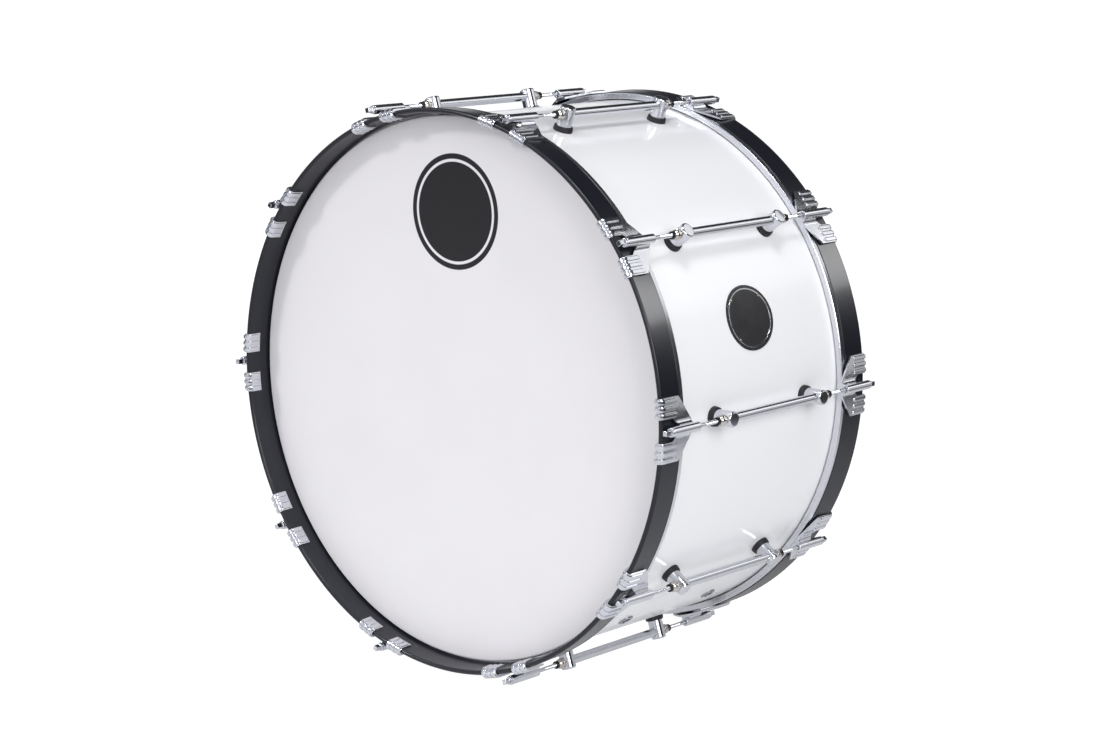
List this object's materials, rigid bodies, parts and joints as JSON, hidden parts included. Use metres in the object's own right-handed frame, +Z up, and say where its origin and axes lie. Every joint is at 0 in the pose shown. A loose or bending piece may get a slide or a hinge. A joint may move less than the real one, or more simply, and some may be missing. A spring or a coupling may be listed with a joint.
{
  "type": "bass drum",
  "caption": "Marching bass drum: white lacquered ply shell, tube lugs on posts, black hoops held by chrome claws and tension rods, smooth white heads.",
  "frame": {"origin": "centre of the shell, on the drum's axis and midway between the heads", "axes": "+Y along the drum's axis towards the rear head, +Z up, front head faces -Y"},
  "size_m": [0.776, 0.436, 0.7436],
  "materials": {
    "shell_lacquer": "white gloss lacquer on ply",
    "hoop_lacquer": "satin black lacquer",
    "head_film": "smooth white film, soft sheen",
    "flesh_aluminium": "bright rolled aluminium",
    "chrome": "mirror chrome plate",
    "zinc_steel": "zinc-plated steel",
    "nut_brass": "nickel-washed brass",
    "gasket_rubber": "matt black rubber",
    "collar_nylon": "matt black nylon",
    "badge_plate": "satin black enamel with a pale line"
  },
  "bodies": {
    "root": {"shell": "shell_lacquer", "badge": "badge_plate", "badge_pins": "chrome", "vent_grommets": "chrome", "lug_posts": "chrome", "lug_tubes": "chrome", "lug_gaskets": "gasket_rubber", "lug_nuts": "nut_brass", "nut_collars": "collar_nylon", "lug_screws": "zinc_steel", "screw_washers": "zinc_steel"},
    "front_hoop_group": {"front_hoop": "hoop_lacquer", "front_head_film": "head_film", "front_flesh_hoop": "flesh_aluminium", "front_rod_washers": "chrome", "front_claw_1": "chrome", "front_claw_2": "chrome", "front_claw_3": "chrome", "front_claw_4": "chrome", "front_claw_5": "chrome", "front_claw_6": "chrome", "front_claw_7": "chrome", "front_claw_8": "chrome", "front_claw_9": "chrome", "front_claw_10": "chrome"},
    "front_rod_1": {"front_rod_1": "chrome"},
    "front_rod_2": {"front_rod_2": "chrome"},
    "front_rod_3": {"front_rod_3": "chrome"},
    "front_rod_4": {"front_rod_4": "chrome"},
    "front_rod_5": {"front_rod_5": "chrome"},
    "front_rod_6": {"front_rod_6": "chrome"},
    "front_rod_7": {"front_rod_7": "chrome"},
    "front_rod_8": {"front_rod_8": "chrome"},
    "front_rod_9": {"front_rod_9": "chrome"},
    "front_rod_10": {"front_rod_10": "chrome"},
    "rear_hoop_group": {"rear_hoop": "hoop_lacquer", "rear_head_film": "head_film", "rear_flesh_hoop": "flesh_aluminium", "rear_rod_washers": "chrome", "rear_claw_1": "chrome", "rear_claw_2": "chrome", "rear_claw_3": "chrome", "rear_claw_4": "chrome", "rear_claw_5": "chrome", "rear_claw_6": "chrome", "rear_claw_7": "chrome", "rear_claw_8": "chrome", "rear_claw_9": "chrome", "rear_claw_10": "chrome"},
    "rear_rod_1": {"rear_rod_1": "chrome"},
    "rear_rod_2": {"rear_rod_2": "chrome"},
    "rear_rod_3": {"rear_rod_3": "chrome"},
    "rear_rod_4": {"rear_rod_4": "chrome"},
    "rear_rod_5": {"rear_rod_5": "chrome"},
    "rear_rod_6": {"rear_rod_6": "chrome"},
    "rear_rod_7": {"rear_rod_7": "chrome"},
    "rear_rod_8": {"rear_rod_8": "chrome"},
    "rear_rod_9": {"rear_rod_9": "chrome"},
    "rear_rod_10": {"rear_rod_10": "chrome"}
  },
  "joints": [
    {"name": "front_hoop_slide", "type": "slide", "parent": "root", "child": "front_hoop_group", "axis": [0, -1, 0], "range_m": [0, 0.02117]},
    {"name": "front_rod_1_turn", "type": "hinge", "parent": "front_hoop_group", "child": "front_rod_1", "pos_m": [0.11681, -0.2115, 0.3595], "axis": [0, -1, 0], "range_deg": [0, 7200]},
    {"name": "front_rod_2_turn", "type": "hinge", "parent": "front_hoop_group", "child": "front_rod_2", "pos_m": [0.30581, -0.2115, 0.22218], "axis": [0, -1, 0], "range_deg": [0, 7200]},
    {"name": "front_rod_3_turn", "type": "hinge", "parent": "front_hoop_group", "child": "front_rod_3", "pos_m": [0.378, -0.2115, 0], "axis": [0, -1, 0], "range_deg": [0, 7200]},
    {"name": "front_rod_4_turn", "type": "hinge", "parent": "front_hoop_group", "child": "front_rod_4", "pos_m": [0.30581, -0.2115, -0.22218], "axis": [0, -1, 0], "range_deg": [0, 7200]},
    {"name": "front_rod_5_turn", "type": "hinge", "parent": "front_hoop_group", "child": "front_rod_5", "pos_m": [0.11681, -0.2115, -0.3595], "axis": [0, -1, 0], "range_deg": [0, 7200]},
    {"name": "front_rod_6_turn", "type": "hinge", "parent": "front_hoop_group", "child": "front_rod_6", "pos_m": [-0.11681, -0.2115, -0.3595], "axis": [0, -1, 0], "range_deg": [0, 7200]},
    {"name": "front_rod_7_turn", "type": "hinge", "parent": "front_hoop_group", "child": "front_rod_7", "pos_m": [-0.30581, -0.2115, -0.22218], "axis": [0, -1, 0], "range_deg": [0, 7200]},
    {"name": "front_rod_8_turn", "type": "hinge", "parent": "front_hoop_group", "child": "front_rod_8", "pos_m": [-0.378, -0.2115, 0], "axis": [0, -1, 0], "range_deg": [0, 7200]},
    {"name": "front_rod_9_turn", "type": "hinge", "parent": "front_hoop_group", "child": "front_rod_9", "pos_m": [-0.30581, -0.2115, 0.22218], "axis": [0, -1, 0], "range_deg": [0, 7200]},
    {"name": "front_rod_10_turn", "type": "hinge", "parent": "front_hoop_group", "child": "front_rod_10", "pos_m": [-0.11681, -0.2115, 0.3595], "axis": [0, -1, 0], "range_deg": [0, 7200]},
    {"name": "rear_hoop_slide", "type": "slide", "parent": "root", "child": "rear_hoop_group", "axis": [0, 1, 0], "range_m": [0, 0.02117]},
    {"name": "rear_rod_1_turn", "type": "hinge", "parent": "rear_hoop_group", "child": "rear_rod_1", "pos_m": [0.11681, 0.2115, 0.3595], "axis": [0, 1, 0], "range_deg": [0, 7200]},
    {"name": "rear_rod_2_turn", "type": "hinge", "parent": "rear_hoop_group", "child": "rear_rod_2", "pos_m": [0.30581, 0.2115, 0.22218], "axis": [0, 1, 0], "range_deg": [0, 7200]},
    {"name": "rear_rod_3_turn", "type": "hinge", "parent": "rear_hoop_group", "child": "rear_rod_3", "pos_m": [0.378, 0.2115, 0], "axis": [0, 1, 0], "range_deg": [0, 7200]},
    {"name": "rear_rod_4_turn", "type": "hinge", "parent": "rear_hoop_group", "child": "rear_rod_4", "pos_m": [0.30581, 0.2115, -0.22218], "axis": [0, 1, 0], "range_deg": [0, 7200]},
    {"name": "rear_rod_5_turn", "type": "hinge", "parent": "rear_hoop_group", "child": "rear_rod_5", "pos_m": [0.11681, 0.2115, -0.3595], "axis": [0, 1, 0], "range_deg": [0, 7200]},
    {"name": "rear_rod_6_turn", "type": "hinge", "parent": "rear_hoop_group", "child": "rear_rod_6", "pos_m": [-0.11681, 0.2115, -0.3595], "axis": [0, 1, 0], "range_deg": [0, 7200]},
    {"name": "rear_rod_7_turn", "type": "hinge", "parent": "rear_hoop_group", "child": "rear_rod_7", "pos_m": [-0.30581, 0.2115, -0.22218], "axis": [0, 1, 0], "range_deg": [0, 7200]},
    {"name": "rear_rod_8_turn", "type": "hinge", "parent": "rear_hoop_group", "child": "rear_rod_8", "pos_m": [-0.378, 0.2115, 0], "axis": [0, 1, 0], "range_deg": [0, 7200]},
    {"name": "rear_rod_9_turn", "type": "hinge", "parent": "rear_hoop_group", "child": "rear_rod_9", "pos_m": [-0.30581, 0.2115, 0.22218], "axis": [0, 1, 0], "range_deg": [0, 7200]},
    {"name": "rear_rod_10_turn", "type": "hinge", "parent": "rear_hoop_group", "child": "rear_rod_10", "pos_m": [-0.11681, 0.2115, 0.3595], "axis": [0, 1, 0], "range_deg": [0, 7200]}
  ],
  "couplings": [
    {"joint": "front_rod_1_turn", "follows": "front_hoop_slide", "rad_per_m": 5936.9},
    {"joint": "front_rod_2_turn", "follows": "front_hoop_slide", "rad_per_m": 5936.9},
    {"joint": "front_rod_3_turn", "follows": "front_hoop_slide", "rad_per_m": 5936.9},
    {"joint": "front_rod_4_turn", "follows": "front_hoop_slide", "rad_per_m": 5936.9},
    {"joint": "front_rod_5_turn", "follows": "front_hoop_slide", "rad_per_m": 5936.9},
    {"joint": "front_rod_6_turn", "follows": "front_hoop_slide", "rad_per_m": 5936.9},
    {"joint": "front_rod_7_turn", "follows": "front_hoop_slide", "rad_per_m": 5936.9},
    {"joint": "front_rod_8_turn", "follows": "front_hoop_slide", "rad_per_m": 5936.9},
    {"joint": "front_rod_9_turn", "follows": "front_hoop_slide", "rad_per_m": 5936.9},
    {"joint": "front_rod_10_turn", "follows": "front_hoop_slide", "rad_per_m": 5936.9},
    {"joint": "rear_rod_1_turn", "follows": "rear_hoop_slide", "rad_per_m": 5936.9},
    {"joint": "rear_rod_2_turn", "follows": "rear_hoop_slide", "rad_per_m": 5936.9},
    {"joint": "rear_rod_3_turn", "follows": "rear_hoop_slide", "rad_per_m": 5936.9},
    {"joint": "rear_rod_4_turn", "follows": "rear_hoop_slide", "rad_per_m": 5936.9},
    {"joint": "rear_rod_5_turn", "follows": "rear_hoop_slide", "rad_per_m": 5936.9},
    {"joint": "rear_rod_6_turn", "follows": "rear_hoop_slide", "rad_per_m": 5936.9},
    {"joint": "rear_rod_7_turn", "follows": "rear_hoop_slide", "rad_per_m": 5936.9},
    {"joint": "rear_rod_8_turn", "follows": "rear_hoop_slide", "rad_per_m": 5936.9},
    {"joint": "rear_rod_9_turn", "follows": "rear_hoop_slide", "rad_per_m": 5936.9},
    {"joint": "rear_rod_10_turn", "follows": "rear_hoop_slide", "rad_per_m": 5936.9}
  ]
}
